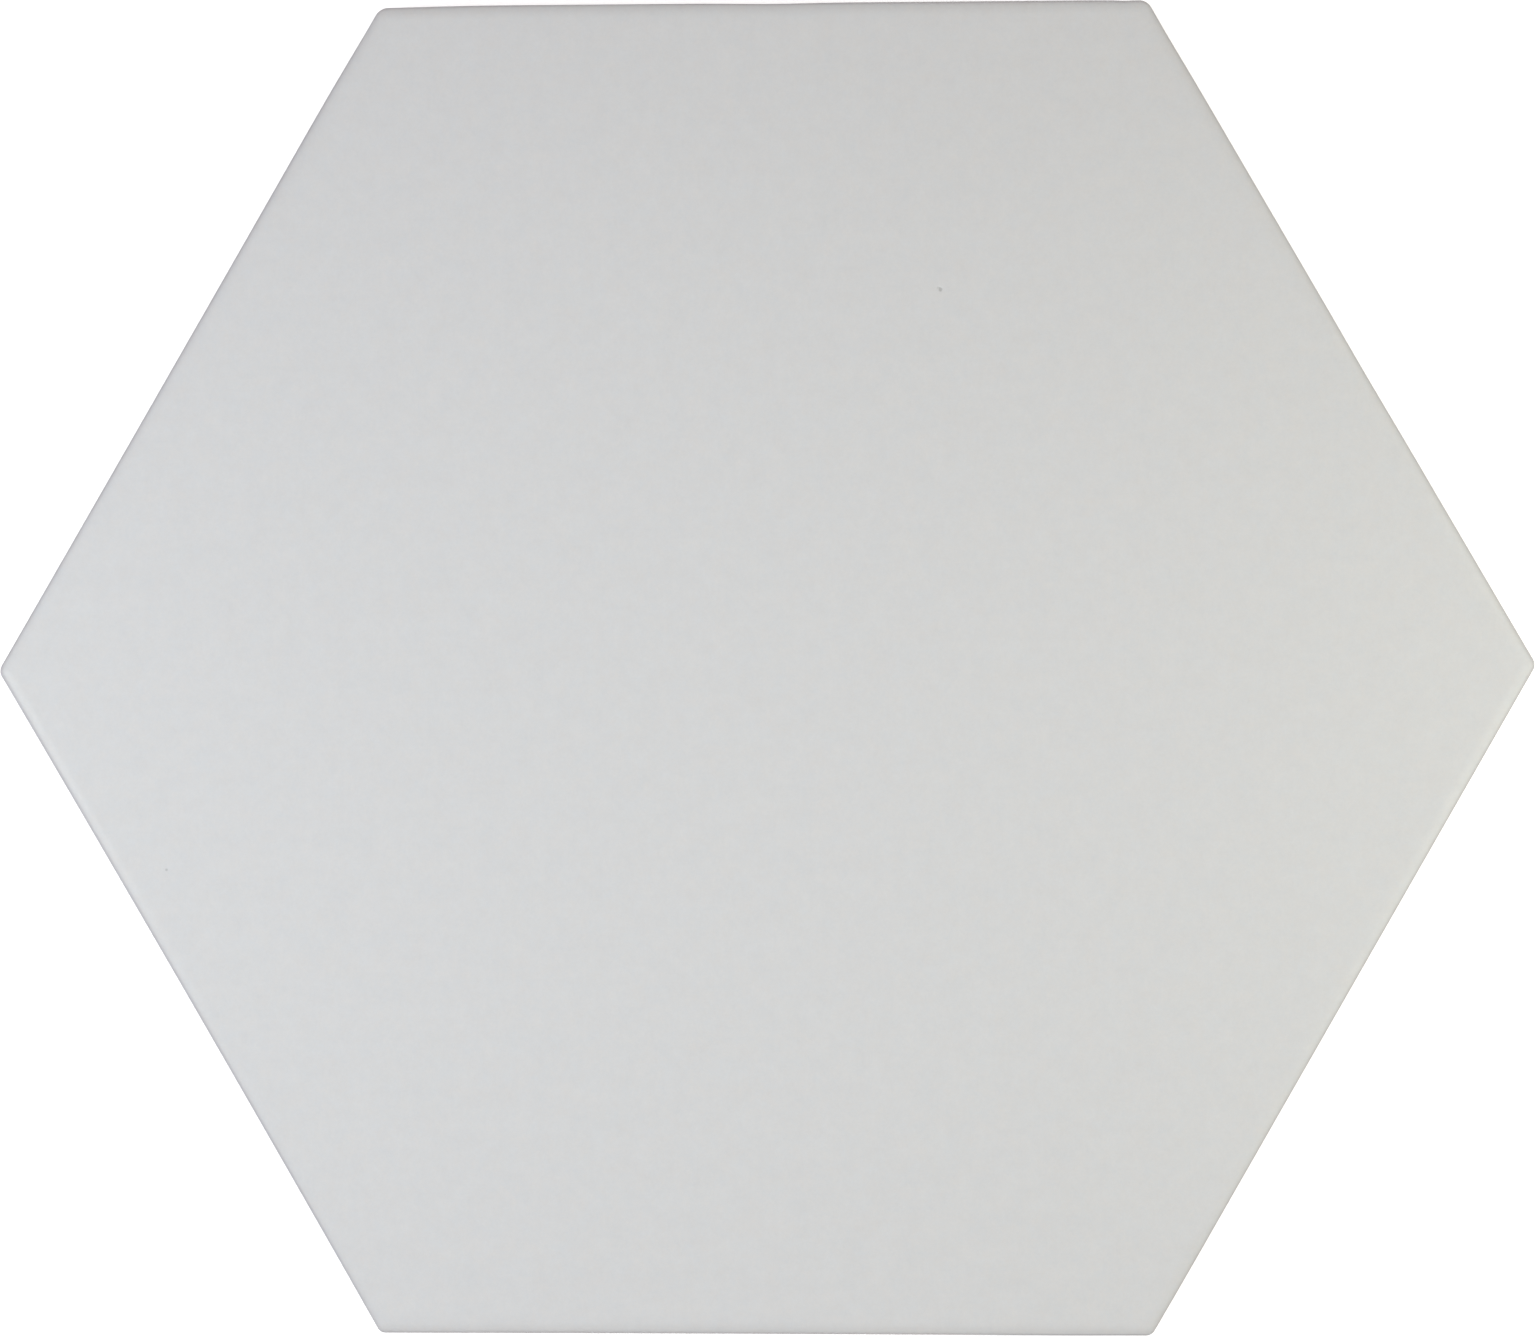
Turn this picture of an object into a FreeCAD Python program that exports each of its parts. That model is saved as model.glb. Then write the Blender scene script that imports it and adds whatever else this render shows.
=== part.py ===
"""Hexagon porcelain floor tile, pressed and fired in one piece.

Frame: millimetres, +Z out of the walked face. The origin is the middle of the back, on the plane of
the rib crests. Two corners of the hexagon lie on the X axis, and two of its sides face +Y and -Y.
"""

import FreeCAD, Part
import math
import os

import Sketcher

NODE = "hexagon_tile"
SIDES = 6
SIXTH_TURN = 60.0
HALF_SIXTH = SIXTH_TURN / 2
START, END, CENTRE = range(1, 4)  # the points of a sketch element
X_AXIS = -START  # a sketch numbers its own axes downwards, X first
SKETCH_ORIGIN = (X_AXIS, START)

# Driving dimensions in millimetres and degrees, and the count of cell rings.
DRIVING_SIZES = {
    "across_flats": (232.0, "between two opposite sides, at the land"),
    "thickness": (9.0, "walked face to rib crests"),
    "face_corner_radius": (0.1, "plan radius of the flat face's corners, inside the rolled arris"),
    "roll_width": (2.5, "rolled arris, measured in from the side"),
    "roll_drop": (0.8, "rolled arris, measured down from the face"),
    "land_height": (4.0, "upright band of the side under the roll"),
    "draft_angle": (5.0, "lean of the side below the land, in degrees"),
    "back_chamfer": (0.6, "bevel round the back"),
    "rim_width": (5.0, "plain border between the bevel and the nearest cells"),
    "rib_width": (2.0, "crest of the ribs between the cells"),
    "relief_depth": (0.8, "cell floor above the rib crests"),
    "cell_draft": (25.0, "lean of the cell walls, in degrees"),
    "cell_rings": (6, "rings of cells round the middle one"),
    "cutter_margin": (1.0, "reach of the arris cutter outside the blank"),
}

# Derived sizes, as expressions on the sheet.
HALF_FLATS = "(sizes.across_flats / 2)"
CORNER_RADIUS = "(sizes.face_corner_radius + sizes.roll_width)"
ROLL_FOOT = "(sizes.thickness - sizes.roll_drop)"
FOOT_HEIGHT = f"({ROLL_FOOT} - sizes.land_height)"
FOOT_INSET = f"({FOOT_HEIGHT} * tan(sizes.draft_angle))"
FIELD_APOTHEM = f"({HALF_FLATS} - {FOOT_INSET} - sizes.back_chamfer - sizes.rim_width)"
RINGS = "round(sizes.cell_rings)"
CELL_PITCH = (
    f"(({FIELD_APOTHEM} + sizes.rib_width / sqrt(3))"
    f" / ({RINGS} * sqrt(3) / 2 + 1 / sqrt(3)))"
)
CELL_CORNER = f"(({CELL_PITCH} - sizes.rib_width) / sqrt(3))"


def fill_sheet(doc):
    """Writes the driving dimensions to the document's sheet: name, value with its alias, and meaning."""
    sheet = doc.addObject("Spreadsheet::Sheet", "sizes")
    for row, (alias, (value, meaning)) in enumerate(DRIVING_SIZES.items(), start=1):
        sheet.set(f"A{row}", alias)
        sheet.set(f"B{row}", str(value))
        sheet.setAlias(f"B{row}", alias)
        sheet.set(f"C{row}", meaning)
    doc.recompute()


def size(alias):
    """The value of one driving dimension."""
    return DRIVING_SIZES[alias][0]


def origin_feature(body, role):
    """The body's own origin plane or axis with this role, such as XY_Plane."""
    return next(f for f in body.Origin.OriginFeatures if f.Role == role)


def sketch_on(body, name, plane):
    """An empty sketch on one of the body's origin planes."""
    sketch = body.newObject("Sketcher::SketchObject", name)
    sketch.AttachmentSupport = [(origin_feature(body, plane), "")]
    sketch.MapMode = "FlatFace"
    return sketch


def polar(radius, degrees):
    """The sketch point at this radius and angle from the sketch's origin."""
    angle = math.radians(degrees)
    return FreeCAD.Vector(radius * math.cos(angle), radius * math.sin(angle), 0)


def constrain(sketch, kind, *arguments):
    """Adds one geometric constraint to the sketch."""
    return sketch.addConstraint(Sketcher.Constraint(kind, *arguments))


def dimension(sketch, kind, *arguments, follows):
    """Adds one dimension to the sketch, with its first value last in arguments, and ties it to the sheet."""
    number = constrain(sketch, kind, *arguments)
    sketch.setExpression(f"Constraints[{number}]", follows)


def draw_rounded_hexagon(sketch):
    """Draws the plan outline: six sides joined by tangent corner arcs, two corners on the X axis."""
    apothem = size("across_flats") / 2
    radius = size("face_corner_radius") + size("roll_width")
    centre_distance = (apothem - radius) / math.cos(math.radians(HALF_SIXTH))
    arcs = []
    for corner in range(SIDES):
        bearing = corner * SIXTH_TURN
        circle = Part.Circle(polar(centre_distance, bearing), FreeCAD.Vector(0, 0, 1), radius)
        start = math.radians(bearing - HALF_SIXTH)
        end = math.radians(bearing + HALF_SIXTH)
        arcs.append(sketch.addGeometry(Part.ArcOfCircle(circle, start, end)))
    for corner, arc in enumerate(arcs):
        next_arc = arcs[(corner + 1) % SIDES]
        line = Part.LineSegment(sketch.Geometry[arc].EndPoint, sketch.Geometry[next_arc].StartPoint)
        side = sketch.addGeometry(line)
        constrain(sketch, "Tangent", arc, END, side, START)
        constrain(sketch, "Tangent", side, END, next_arc, START)
        direction = math.radians((corner + 2) * SIXTH_TURN)
        constrain(sketch, "Angle", side, math.remainder(direction, math.tau))
        dimension(sketch, "Distance", *SKETCH_ORIGIN, side, apothem, follows=HALF_FLATS)
    for arc in arcs[1:]:
        constrain(sketch, "Equal", arcs[0], arc)
    dimension(sketch, "Radius", arcs[0], radius, follows=CORNER_RADIUS)


def draw_roll_cutter(sketch):
    """Draws what the rolled arris takes off: a quarter ellipse, closed outside the blank."""
    side, width, drop = size("across_flats") / 2, size("roll_width"), size("roll_drop")
    face, margin = size("thickness"), size("cutter_margin")
    middle = FreeCAD.Vector(side - width, face - drop, 0)
    foot = FreeCAD.Vector(side, face - drop, 0)
    top = FreeCAD.Vector(side - width, face, 0)
    corners = [
        foot,
        foot + FreeCAD.Vector(margin, 0, 0),
        FreeCAD.Vector(side + margin, face + margin, 0),
        top + FreeCAD.Vector(0, margin, 0),
        top,
    ]
    roll = sketch.addGeometry(Part.ArcOfEllipse(Part.Ellipse(foot, top, middle), 0, math.pi / 2))
    sketch.exposeInternalGeometry(roll)
    long_axis = roll + 1
    constrain(sketch, "Horizontal", long_axis)
    constrain(sketch, "Horizontal", roll, CENTRE, roll, START)
    constrain(sketch, "Vertical", roll, CENTRE, roll, END)
    lines = [
        sketch.addGeometry(Part.LineSegment(start, end)) for start, end in zip(corners, corners[1:])
    ]
    sill, outer, lid, inner = lines
    constrain(sketch, "Coincident", roll, START, sill, START)
    for line, following in zip(lines, lines[1:]):
        constrain(sketch, "Coincident", line, END, following, START)
    constrain(sketch, "Coincident", inner, END, roll, END)
    for line in (sill, lid):
        constrain(sketch, "Horizontal", line)
    for line in (outer, inner):
        constrain(sketch, "Vertical", line)
    dimension(sketch, "DistanceX", *SKETCH_ORIGIN, roll, START, side, follows=HALF_FLATS)
    dimension(sketch, "DistanceY", *SKETCH_ORIGIN, roll, START, face - drop, follows=ROLL_FOOT)
    dimension(sketch, "DistanceX", roll, END, roll, START, width, follows="sizes.roll_width")
    dimension(sketch, "DistanceY", roll, START, roll, END, drop, follows="sizes.roll_drop")
    dimension(sketch, "DistanceX", sill, START, sill, END, margin, follows="sizes.cutter_margin")
    dimension(sketch, "DistanceY", inner, END, inner, START, margin, follows="sizes.cutter_margin")


def draw_cell(sketch, pitches_out):
    """Draws a regular hexagon with two upright sides, centred this many pitches along the X axis.

    It is drawn at about its size, and the dimensions then set it exactly.
    """
    field = size("across_flats") / 2 - size("rim_width")
    pitch = field / size("cell_rings")
    corner_distance = (pitch - size("rib_width")) / math.sqrt(3)
    centre = FreeCAD.Vector(pitches_out * pitch, 0, 0)
    ring = sketch.addGeometry(Part.Circle(centre, FreeCAD.Vector(0, 0, 1), corner_distance), True)
    corners = [centre + polar(corner_distance, k * SIXTH_TURN - HALF_SIXTH) for k in range(SIDES)]
    sides = [
        sketch.addGeometry(Part.LineSegment(corners[k], corners[(k + 1) % SIDES]))
        for k in range(SIDES)
    ]
    for k, side in enumerate(sides):
        constrain(sketch, "Coincident", side, END, sides[(k + 1) % SIDES], START)
        constrain(sketch, "PointOnObject", side, START, ring)
    for side in sides[1:]:
        constrain(sketch, "Equal", sides[0], side)
    constrain(sketch, "Vertical", sides[0])
    dimension(sketch, "Radius", ring, corner_distance, follows=CELL_CORNER)
    if pitches_out:
        constrain(sketch, "PointOnObject", ring, CENTRE, X_AXIS)
        place = pitches_out * pitch
        follows = f"{pitches_out} * {CELL_PITCH}"
        dimension(sketch, "DistanceX", *SKETCH_ORIGIN, ring, CENTRE, place, follows=follows)
    else:
        constrain(sketch, "Coincident", ring, CENTRE, *SKETCH_ORIGIN)


def draw_cell_rows(sketch):
    """Draws the two directions in which the rows of cells run, a third of a turn apart."""
    for degrees in (0.0, 2 * SIXTH_TURN):
        length = size("across_flats") / 2
        line = Part.LineSegment(FreeCAD.Vector(0, 0, 0), polar(length, degrees))
        row = sketch.addGeometry(line, True)
        constrain(sketch, "Coincident", row, START, *SKETCH_ORIGIN)
        constrain(sketch, "Angle", row, math.radians(degrees))
        dimension(sketch, "Distance", row, length, follows=HALF_FLATS)


def add_blank(body):
    """The pressed blank: an upright land above a foot that draws in towards the back."""
    outline = sketch_on(body, "outline", "XY_Plane")
    outline.setExpression("AttachmentOffset.Base.z", FOOT_HEIGHT)
    draw_rounded_hexagon(outline)
    land = body.newObject("PartDesign::Pad", "land")
    land.Profile = (outline, [""])
    land.setExpression("Length", f"sizes.thickness - {FOOT_HEIGHT}")
    foot = body.newObject("PartDesign::Pad", "foot")
    foot.Profile = (outline, [""])
    foot.Reversed = True
    foot.setExpression("Length", FOOT_HEIGHT)
    foot.setExpression("TaperAngle", "-sizes.draft_angle")
    return outline


def add_rolled_arris(body, outline):
    """The cushion edge of the face: a quarter ellipse swept round the outline."""
    profile = sketch_on(body, "roll_profile", "YZ_Plane")
    draw_roll_cutter(profile)
    roll = body.newObject("PartDesign::SubtractivePipe", "rolled_arris")
    roll.Profile = (profile, [""])
    roll.Spine = (outline, [""])
    roll.Transition = "Transformed"
    body.Document.recompute()
    return roll


def add_back_bevel(body, blank):
    """The bevel where the foot meets the back."""
    edges = enumerate(blank.Shape.Edges, start=1)
    back_edges = [f"Edge{number}" for number, edge in edges if edge.BoundBox.ZMax < 1e-6]
    bevel = body.newObject("PartDesign::Chamfer", "back_bevel")
    bevel.Base = (blank, back_edges)
    bevel.setExpression("Size", "sizes.back_chamfer")


def add_cell(body, name, pitches_out):
    """One drafted hexagonal cell, pressed into the back and narrower at its floor."""
    sketch = sketch_on(body, f"{name}_outline", "XY_Plane")
    draw_cell(sketch, pitches_out)
    cell = body.newObject("PartDesign::Pocket", name)
    cell.Profile = (sketch, [""])
    cell.Reversed = True
    cell.setExpression("Length", "sizes.relief_depth")
    cell.setExpression("TaperAngle", "-sizes.cell_draft")
    return cell


def add_key_relief(body):
    """The key that the adhesive grips: rings of cells round a middle one, with ribs between them."""
    add_cell(body, "middle_cell", 0)
    first_cell = add_cell(body, "first_cell", 1)
    rows = sketch_on(body, "cell_rows", "XY_Plane")
    draw_cell_rows(rows)
    patterns = []
    for number, count in enumerate((RINGS, f"{RINGS} + 1")):
        row = body.Document.addObject("PartDesign::LinearPattern", f"cell_row_{number}")
        row.Direction = (rows, [f"Axis{number}"])
        row.Mode = "Spacing"
        row.setExpression("Offset", CELL_PITCH)
        row.setExpression("Occurrences", count)
        patterns.append(row)
    thirds = body.Document.addObject("PartDesign::PolarPattern", "cell_thirds")
    thirds.Axis = (origin_feature(body, "Z_Axis"), [""])
    thirds.Angle = 360
    thirds.Occurrences = 3
    relief = body.newObject("PartDesign::MultiTransform", "key_relief")
    relief.Originals = [first_cell]
    relief.Transformations = [*patterns, thirds]
    body.Tip = relief


def check(doc, body):
    """Stops if a feature failed, if a cut took nothing away, or if the tile isn't one valid solid."""
    for item in doc.Objects:
        if {"Invalid", "Error"} & set(item.State):
            raise RuntimeError(f"{item.Label} failed: {item.State}")
    cutters = ("SubtractivePipe", "Chamfer", "Pocket", "MultiTransform")
    for feature in body.Group:
        if feature.TypeId.endswith(cutters) and feature.Shape.Volume >= feature.BaseFeature.Shape.Volume:
            raise RuntimeError(f"{feature.Label} takes nothing away")
    if body.Shape.isNull() or not body.Shape.isValid() or len(body.Shape.Solids) != 1:
        raise RuntimeError(f"{body.Label} isn't one valid solid")


def main():
    """Builds the tile and writes its solid."""
    doc = FreeCAD.newDocument("hexagon_tile")
    fill_sheet(doc)
    body = doc.addObject("PartDesign::Body", NODE)
    body.Label = NODE
    outline = add_blank(body)
    blank = add_rolled_arris(body, outline)
    add_back_bevel(body, blank)
    add_key_relief(body)
    body.Placement = FreeCAD.Placement()
    doc.recompute()
    check(doc, body)
    os.makedirs("parts", exist_ok=True)
    body.Shape.exportStep(f"parts/{body.Label}.step")
    print(f"{body.Label}: {body.Shape.Volume:.1f} cubic mm, {body.Shape.BoundBox}")


main()
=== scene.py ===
"""Looks of a hexagonal porcelain floor tile that lies on its back under soft light.

Lengths are in metres in the tile's own frame: the origin is the middle of the back, +Z points out of
the walked face, and two corners lie on the X axis. Bearings are degrees round +Z, from +X.
"""

import logging
import math
from collections.abc import Callable, Iterable, Sequence
from dataclasses import dataclass, field
from enum import Enum

import bmesh
import bpy
from mathutils import Euler, Matrix, Vector, noise
from mathutils.geometry import delaunay_2d_cdt


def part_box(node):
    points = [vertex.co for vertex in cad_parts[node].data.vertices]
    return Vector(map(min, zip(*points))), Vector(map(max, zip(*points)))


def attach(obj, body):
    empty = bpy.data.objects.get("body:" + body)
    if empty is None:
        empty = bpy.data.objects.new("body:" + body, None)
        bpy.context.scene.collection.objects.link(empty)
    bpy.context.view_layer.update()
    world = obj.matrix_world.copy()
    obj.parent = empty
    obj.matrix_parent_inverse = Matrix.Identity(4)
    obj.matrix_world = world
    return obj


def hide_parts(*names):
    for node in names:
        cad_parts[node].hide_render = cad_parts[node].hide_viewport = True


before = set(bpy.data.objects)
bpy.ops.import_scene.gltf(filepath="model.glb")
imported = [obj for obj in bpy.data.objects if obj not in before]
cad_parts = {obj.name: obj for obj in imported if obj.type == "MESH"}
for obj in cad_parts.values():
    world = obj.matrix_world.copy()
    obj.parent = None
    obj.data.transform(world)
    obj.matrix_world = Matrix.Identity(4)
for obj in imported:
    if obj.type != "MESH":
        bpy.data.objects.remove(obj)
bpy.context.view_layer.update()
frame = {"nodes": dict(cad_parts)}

LOG = logging.getLogger("tile")
MM = 0.001
SIDES = 6
SIXTH = math.tau / SIDES
HALF_SIXTH = SIXTH / 2
WELD = 1e-3 * MM
PHOTO_WIDTH, PHOTO_HEIGHT = 1535, 1336
Colour = tuple[float, float, float, float]


def grey(red: float, green: float, blue: float) -> Colour:
    """The linear colour of three display values from 0 to 255."""
    return tuple(_linear(value / 255) for value in (red, green, blue)) + (1.0,)


def _linear(value: float) -> float:
    """The linear light of one display value from 0 to 1."""
    return value / 12.92 if value <= 0.04045 else ((value + 0.055) / 1.055) ** 2.4


def bearing(angle: float) -> Vector:
    """The plan direction at this angle, in radians."""
    return Vector((math.cos(angle), math.sin(angle)))


class Surface(Enum):
    """The tile's finishes, numbered by their place among its materials."""

    GLAZE = 0
    BISCUIT = 1
    BACK = 2


class Value:
    """A node's output socket, whose arithmetic adds Math nodes to its tree."""

    def __init__(self, nodes: "Nodes", socket: bpy.types.NodeSocket) -> None:
        self.nodes = nodes
        self.socket = socket

    def __add__(self, other: "Value | float") -> "Value":
        return self.nodes.math("ADD", self, other)

    __radd__ = __add__

    def __mul__(self, other: "Value | float") -> "Value":
        return self.nodes.math("MULTIPLY", self, other)

    __rmul__ = __mul__

    def __sub__(self, other: "Value | float") -> "Value":
        return self.nodes.math("SUBTRACT", self, other)

    def __rsub__(self, other: "Value | float") -> "Value":
        return self.nodes.math("SUBTRACT", other, self)

    def __truediv__(self, other: "Value | float") -> "Value":
        return self.nodes.math("DIVIDE", self, other)

    def __rtruediv__(self, other: "Value | float") -> "Value":
        return self.nodes.math("DIVIDE", other, self)

    def __pow__(self, other: "Value | float") -> "Value":
        return self.nodes.math("POWER", self, other)

    def __mod__(self, other: "Value | float") -> "Value":
        return self.nodes.math("FLOORED_MODULO", self, other)

    def __floordiv__(self, other: "Value | float") -> "Value":
        return self.nodes.math("FLOOR", self / other)

    def __abs__(self) -> "Value":
        return self.nodes.math("ABSOLUTE", self)

    def above(self, limit: "Value | float") -> "Value":
        """1 where this value is over the limit, and 0 elsewhere."""
        return self.nodes.math("GREATER_THAN", self, limit)

    def at_most(self, limit: "Value | float") -> "Value":
        """This value, or the limit where that is less."""
        return self.nodes.math("MINIMUM", self, limit)

    def at_least(self, limit: "Value | float") -> "Value":
        """This value, or the limit where that is more."""
        return self.nodes.math("MAXIMUM", self, limit)

    def fade(self, start: float, end: float) -> "Value":
        """Rises smoothly from 0 to 1 as this value goes from start to end.

        Args:
            start: the value at which the result is 0.
            end: the value at which the result is 1. It may be less than start.

        Returns:
            The share, from 0 to 1.
        """
        node = self.nodes.add(
            "ShaderNodeMapRange",
            {"interpolation_type": "SMOOTHSTEP"},
            {"Value": self, "From Min": start, "From Max": end},
        )
        return self.nodes.value(node)


class Nodes:
    """A node tree that is being built."""

    def __init__(self, tree: bpy.types.NodeTree) -> None:
        self.tree = tree

    def add(
        self,
        kind: str,
        settings: dict[str, object] | None = None,
        sockets: dict[str | int, object] | None = None,
    ) -> bpy.types.Node:
        """Adds one node.

        Args:
            kind: the node's type.
            settings: the node's own properties, set first.
            sockets: a value, or a Value to link, for each input by its name or number.

        Returns:
            The new node.
        """
        node = self.tree.nodes.new(kind)
        for name, setting in (settings or {}).items():
            setattr(node, name, setting)
        for key, given in (sockets or {}).items():
            if isinstance(given, Value):
                self.tree.links.new(given.socket, node.inputs[key])
            else:
                node.inputs[key].default_value = given
        return node

    def value(self, node: bpy.types.Node, key: str | int = 0) -> Value:
        """One of the node's outputs, by its name or number."""
        return Value(self, node.outputs[key])

    def math(self, operation: str, *operands: Value | float) -> Value:
        """The result of one Math node on these operands."""
        return self.value(
            self.add("ShaderNodeMath", {"operation": operation}, dict(enumerate(operands)))
        )

    def vector(self, operation: str, *operands: Value | Sequence[float], key: str | int = 0) -> Value:
        """The output named key of one Vector Math node on these operands."""
        node = self.add("ShaderNodeVectorMath", {"operation": operation}, dict(enumerate(operands)))
        return self.value(node, key)

    def mix(self, share: Value | float, first: Value | Colour, second: Value | Colour) -> Value:
        """The first colour where share is 0 and the second where it is 1."""
        node = self.add("ShaderNodeMix", {"data_type": "RGBA"}, {0: share, 6: first, 7: second})
        return self.value(node, 2)

    def split(self, vector: Value) -> tuple[Value, Value, Value]:
        """The vector's three parts."""
        node = self.add("ShaderNodeSeparateXYZ", {}, {0: vector})
        return tuple(self.value(node, axis) for axis in "XYZ")

    def join(self, x: Value | float, y: Value | float, z: Value | float) -> Value:
        """The vector with these three parts."""
        return self.value(self.add("ShaderNodeCombineXYZ", {}, {0: x, 1: y, 2: z}))

    def grain(self, place: Value, size: float, detail: float = 2.0, roughness: float = 0.5) -> Value:
        """Noise round 0.5.

        Args:
            place: where it is read.
            size: the width of its largest blotches.
            detail: how many times finer blotches are added, each half as wide as the last.
            roughness: how strong each of them is beside the last.

        Returns:
            The noise, which keeps between 0 and 1.
        """
        sockets = {"Vector": place, "Scale": 1 / size, "Detail": detail, "Roughness": roughness}
        return self.value(self.add("ShaderNodeTexNoise", {}, sockets))


@dataclass(frozen=True)
class SideForm:
    """How one side came out of the kiln: its distances inside the nominal line.

    Attributes:
        start: at the end that comes first, counterclockwise.
        end: at the other end.
        hollow: more than that at its middle.
    """

    start: float
    end: float
    hollow: float = 0.0


@dataclass(frozen=True)
class Dent:
    """A shallow hollow in the outline, towards the middle of the tile.

    Attributes:
        place: its middle, in plan.
        depth: how far in it goes there.
        reach: how far from its middle most of it fades.
    """

    place: Vector
    depth: float
    reach: float

    def shift(self, point: Vector) -> Vector:
        """How far the dent moves this point of the outline."""
        away = (point - self.place).length / self.reach
        return -point.normalized() * self.depth * math.exp(-away * away)


@dataclass(frozen=True)
class Outline:
    """The tile's plan: six nearly straight sides and six rounded corners.

    Attributes:
        half_flats: from the middle to each side of the nominal hexagon.
        corner_radii: at the bearings 0, 60 and so on.
        sides: at the bearings 30, 90 and so on.
        dents: where the outline falls in.
        side_steps: the points along a side.
        corner_steps: the points round a corner.
    """

    half_flats: float
    corner_radii: tuple[float, ...] = (1.9 * MM, 2.5 * MM, 2.6 * MM, 1.9 * MM, 1.5 * MM, 1.8 * MM)
    sides: tuple[SideForm, ...] = (
        SideForm(0.15 * MM, 0.01 * MM, hollow=0.03 * MM),
        SideForm(0.19 * MM, 0.25 * MM),
        SideForm(0.19 * MM, 0.20 * MM, hollow=0.07 * MM),
        SideForm(0.01 * MM, 0.20 * MM, hollow=0.24 * MM),
        SideForm(0.44 * MM, 0.07 * MM, hollow=0.10 * MM),
        SideForm(0.01 * MM, 0.25 * MM),
    )
    dents: tuple[Dent, ...] = (
        Dent(Vector((-67.0, 115.5)) * MM, 0.33 * MM, 12 * MM),
        Dent(Vector((1.3, 116.0)) * MM, 0.15 * MM, 8 * MM),
        Dent(Vector((105.6, 51.0)) * MM, 0.07 * MM, 10 * MM),
        Dent(Vector((62.8, 116.0)) * MM, 0.12 * MM, 1.8 * MM),
        Dent(Vector((70.5, 110.5)) * MM, 0.11 * MM, 7 * MM),
        Dent(Vector((65.0, -115.9)) * MM, 0.10 * MM, 8 * MM),
    )
    side_steps: int = 52
    corner_steps: int = 8
    sharpest: float = 0.15 * MM

    def side_line(self, number: int, inset: float) -> tuple[Vector, Vector]:
        """A point on one side's line and the line's outward normal, moved in by inset."""
        form = self.sides[number % SIDES]
        nominal = bearing(HALF_SIXTH + number * SIXTH)
        along = Vector((-nominal.y, nominal.x))
        half_length = self.half_flats * math.tan(HALF_SIXTH)
        start = nominal * (self.half_flats - form.start) - along * half_length
        end = nominal * (self.half_flats - form.end) + along * half_length
        direction = (end - start).normalized()
        normal = Vector((direction.y, -direction.x))
        return start - normal * inset, normal

    def corner_centre(self, number: int, inset: float, radius: float) -> Vector:
        """The centre of the arc that rounds one corner."""
        first, normal = self.side_line(number - 1, inset + radius)
        second, next_normal = self.side_line(number, inset + radius)
        matrix = Matrix((normal, next_normal))
        return matrix.inverted() @ Vector((normal.dot(first), next_normal.dot(second)))

    def ring(self, inset: float) -> list[Vector]:
        """The outline's points, moved in by inset, counterclockwise from the corner at bearing 0.

        Args:
            inset: how far inside the outline the ring lies.

        Returns:
            As many points for every inset, so that rings can be joined point by point.
        """
        arcs = []
        for corner in range(SIDES):
            radius = max(self.corner_radii[corner] - inset, self.sharpest)
            centre = self.corner_centre(corner, inset, radius)
            start = corner * SIXTH - HALF_SIXTH
            turns = (start + SIXTH * step / self.corner_steps for step in range(self.corner_steps + 1))
            arcs.append([centre + bearing(turn) * radius for turn in turns])
        points = []
        for corner, arc in enumerate(arcs):
            start, end = arc[-1], arcs[(corner + 1) % SIDES][0]
            _, normal = self.side_line(corner, inset)
            hollow = self.sides[corner].hollow
            points += arc
            for step in range(1, self.side_steps):
                share = step / self.side_steps
                sag = 4 * hollow * share * (1 - share)
                points.append(start.lerp(end, share) - normal * sag)
        return [point + sum((dent.shift(point) for dent in self.dents), Vector((0, 0))) for point in points]


def rounded_profile(
    corners: Sequence[tuple[float, float]], radii: Sequence[float], steps: int
) -> list[Vector]:
    """Rounds a profile's corners.

    Args:
        corners: the profile's sharp points, each an inset and a height.
        radii: how far along both neighbours each inner corner's rounding reaches.
        steps: the stretches in each rounding.

    Returns:
        The profile's points, with its first and last as they were.
    """
    sharp = [Vector(corner) for corner in corners]
    points = [sharp[0]]
    for before, corner, after, reach in zip(sharp, sharp[1:], sharp[2:], radii):
        start = corner + (before - corner).normalized() * reach
        end = corner + (after - corner).normalized() * reach
        for step in range(steps + 1):
            share = step / steps
            points.append(start.lerp(corner, share).lerp(corner.lerp(end, share), share))
    return [*points, sharp[-1]]


def spread(points: Sequence[Vector], longest: float) -> list[Vector]:
    """The profile's points with more between them, so that no stretch is longer than this."""
    result = [points[0]]
    for start, end in zip(points, points[1:]):
        count = max(1, math.ceil((end - start).length / longest))
        result += [start.lerp(end, step / count) for step in range(1, count + 1)]
    return result


def triangulate(loops: Sequence[Sequence[Vector]], loose: Sequence[Vector]) -> tuple[list, list]:
    """Fills a plan shape with triangles.

    Args:
        loops: its outer loop, and then the loops of its holes.
        loose: more points inside it.

    Returns:
        The points, and the triangles as their numbers.
    """
    points = [point for loop in loops for point in loop] + list(loose)
    edges, first = [], 0
    for loop in loops:
        count = len(loop)
        edges += [(first + step, first + (step + 1) % count) for step in range(count)]
        first += count
    inside_loops = 1
    plan, _, faces, *_ = delaunay_2d_cdt(points, edges, [], inside_loops, WELD / 10)
    middles = [sum((plan[number] for number in face), Vector((0, 0))) / len(face) for face in faces]
    kept = [
        face
        for face, middle in zip(faces, middles)
        if not any(encloses(hole, middle) for hole in loops[1:])
    ]
    return plan, kept


def encloses(loop: Sequence[Vector], point: Vector) -> bool:
    """Whether a closed loop goes round this point."""
    crossings = 0
    for start, end in zip(loop, [*loop[1:], loop[0]]):
        if (start.y > point.y) != (end.y > point.y):
            share = (point.y - start.y) / (end.y - start.y)
            crossings += start.x + (end.x - start.x) * share > point.x
    return crossings % 2 == 1


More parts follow.
